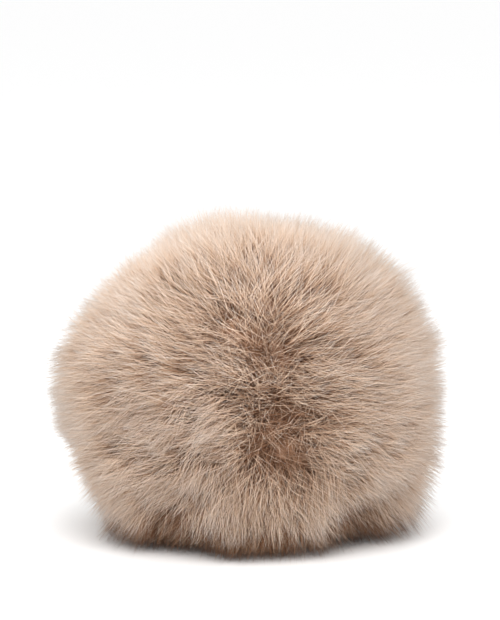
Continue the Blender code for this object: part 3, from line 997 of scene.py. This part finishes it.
def layStudHairs():
    look = studHairs
    chance = np.random.default_rng(look["seed"])
    count = look["hairs"]
    turn = np.radians(chance.uniform(*look["sweep"], count))
    anywhere = turn[::look["elsewhere"]]
    anywhere[:] = chance.uniform(0, 2 * math.pi, len(anywhere))
    swing = np.radians(chance.normal(0, look["spread"], count))
    landing = chance.uniform(*look["landing"], count)
    start = chance.uniform(*look["rooted"], count)
    places = {}
    steps = (("root", start, 0.0, "rootOff"), ("bend", (start + landing) / 2, 0.3, "bendOff"),
             ("tip", landing, 1.0, "tipOff"))
    for name, reach, share, off in steps:
        at = turn + share * swing
        places[name] = onStud(reach * np.cos(at), reach * np.sin(at), chance.uniform(*look[off], count))
    return dict(
        places, thick=chance.uniform(*look["thickSpread"], count), tint=chance.uniform(*look["tint"], count),
        shown=chance.uniform(*look["shown"], count), pale=np.full(count, look["pale"]))


# short fur that lies over towards the rim, all round it
ringHairs = dict(
    seed=19,
    hairs=2600,
    thickness=0.10 * mm,
    thickSpread=(0.8, 1.2),
    frizz=0.4 * mm,
    rooted=(19.4, 34.0),  # degrees from the stud's axis
    rootShare=0.8,  # of the undercoat's height
    landing=(9.2 * mm, 12.5 * mm),  # from the axis
    tipOff=(0.3 * mm, 3.4 * mm),  # off the plate's face
    arch=2.2 * mm,
    archSpread=(0.5, 1.4),
    swing=0.16,  # radians
    tint=(0.35, 1.0),
    pale=0.62,
)


def layRingHairs():
    look = ringHairs
    chance = np.random.default_rng(look["seed"])
    count = look["hairs"]
    turn = chance.uniform(0, 2 * math.pi, count)
    leaning = np.radians(chance.uniform(*look["rooted"], count))
    across, behind = np.sin(leaning), np.cos(leaning)
    start = np.stack([-np.cos(turn) * across, behind, np.sin(turn) * across], axis=1)
    root = furPoints(start, undercoatShare(start) * look["rootShare"])
    swung = turn + chance.normal(0, look["swing"], count)
    reach = chance.uniform(*look["landing"], count)
    tip = onStud(reach * np.cos(swung), reach * np.sin(swung), chance.uniform(*look["tipOff"], count))
    arch = look["arch"] * chance.uniform(*look["archSpread"], count)
    return dict(
        root=root, bend=(root + tip) / 2 + studAxis * arch[:, None], tip=tip,
        thick=chance.uniform(*look["thickSpread"], count), tint=chance.uniform(*look["tint"], count),
        shown=np.ones(count), pale=np.full(count, look["pale"]))


def dressStud():
    tubes = threadTree()
    thread = threadMaterial()
    strands = strandPaths()
    strandLines = lineMesh("holeThreads", strands, [studThreads["thickness"]] * len(strands))
    threads = builtBy(tubes, "holeThreads", strandLines, {"Sides": studThreads["sides"], "Finish": thread})
    loose = (strayFibre, crossingFibre)
    fibres = [onStud(*(smoothPath(fibre["path"], fibreSteps) * mm).T) for fibre in loose]
    fibreLines = lineMesh("looseFibres", fibres, [fibre["thickness"] for fibre in loose])
    stray = builtBy(tubes, "looseFibres", fibreLines, {"Sides": fibreSides, "Finish": thread})
    hairs = grownHairs(
        "studHairs", layStudHairs(), fineOutline, studHairs["thickness"], studHairs["widthSpread"],
        studHairs["frizz"], studHairs["seed"])
    ring = grownHairs(
        "ringHairs", layRingHairs(), plainOutline, ringHairs["thickness"], widthSpread,
        ringHairs["frizz"], ringHairs["seed"])
    for piece in (threads, stray, hairs, ring):
        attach(piece, "root")
        print(f"{piece.name}: {len(piece.data.polygons)} faces")


dressStud()
print("stud finished")


studio = dict(
    floorSize=60.0,
    floorColour=(0.94, 0.94, 0.94, 1),
    floorRoughness=0.9,
    floorGloss=0.1,
    surround=0.90,
    keyPlace=(0.0, -0.22, 1.0),
    keySoftness=80.0,  # degrees across
    keyStrength=0.50,
    frontPlace=(-0.04, -1.05, 1.0),
    frontSize=1.0,
    frontPower=17.0,
)


def makeStudio():
    half = studio["floorSize"] / 2
    mesh = bpy.data.meshes.new("floor")
    corners = [(-half, -half, 0), (half, -half, 0), (half, half, 0), (-half, half, 0)]
    mesh.from_pydata(corners, [], [(0, 1, 2, 3)])
    material, _, shader = newMaterial("paleFloor")
    shader.inputs["Base Color"].default_value = studio["floorColour"]
    shader.inputs["Roughness"].default_value = studio["floorRoughness"]
    shader.inputs["Specular IOR Level"].default_value = studio["floorGloss"]
    mesh.materials.append(material)
    newObject("floor", mesh)
    key = bpy.data.lights.new("keyLight", "SUN")
    key.angle = math.radians(studio["keySoftness"])
    key.energy = studio["keyStrength"]
    newObject("keyLight", key).rotation_euler = Vector(studio["keyPlace"]).to_track_quat("Z", "Y").to_euler()
    front = bpy.data.lights.new("frontLight", "AREA")
    front.shape = "DISK"
    front.size = studio["frontSize"]
    front.energy = studio["frontPower"]
    softbox = newObject("frontLight", front)
    softbox.location = studio["frontPlace"]
    towards = Vector(studio["frontPlace"]) - Vector((0, 0, ballShape["middle"]))
    softbox.rotation_euler = towards.to_track_quat("Z", "Y").to_euler()
    world = bpy.data.worlds.new("studioWhite")
    world.use_nodes = True
    background = world.node_tree.nodes["Background"]
    seen = addNode(world.node_tree, "ShaderNodeLightPath").outputs["Is Camera Ray"]
    strength = ranged(world.node_tree, seen, 0.0, 1.0, studio["surround"], 1.0)
    background.inputs["Color"].default_value = (1, 1, 1, 1)
    world.node_tree.links.new(strength, background.inputs["Strength"])
    scene.world = world
    scene.view_settings.view_transform = "Standard"


view = dict(
    elevation=6.8,
    distance=0.95,
    imageHeight=620,
    imageWidth=500,
    pixel=130 * mm / 398,  # what one pixel of the photo spans at the pom pom
    ballColumn=246,
    originRow=533,
)


def makeCamera():
    rise = math.radians(view["elevation"])
    data = bpy.data.cameras.new("camera")
    data.sensor_width = 36.0
    data.lens = data.sensor_width * view["distance"] / (view["imageHeight"] * view["pixel"])
    camera = newObject("camera", data)
    back = Vector((0, -math.cos(rise), math.sin(rise)))
    up = Vector((0, math.sin(rise), math.cos(rise)))
    aside = (view["imageWidth"] / 2 - view["ballColumn"]) * view["pixel"]
    above = (view["originRow"] - view["imageHeight"] / 2) * view["pixel"]
    aim = Vector((aside, 0, 0)) + up * above
    camera.location = aim + back * view["distance"]
    camera.rotation_euler = (-back).to_track_quat("-Z", "Y").to_euler()
    scene.camera = camera


makeStudio()
makeCamera()
print("studio ready")
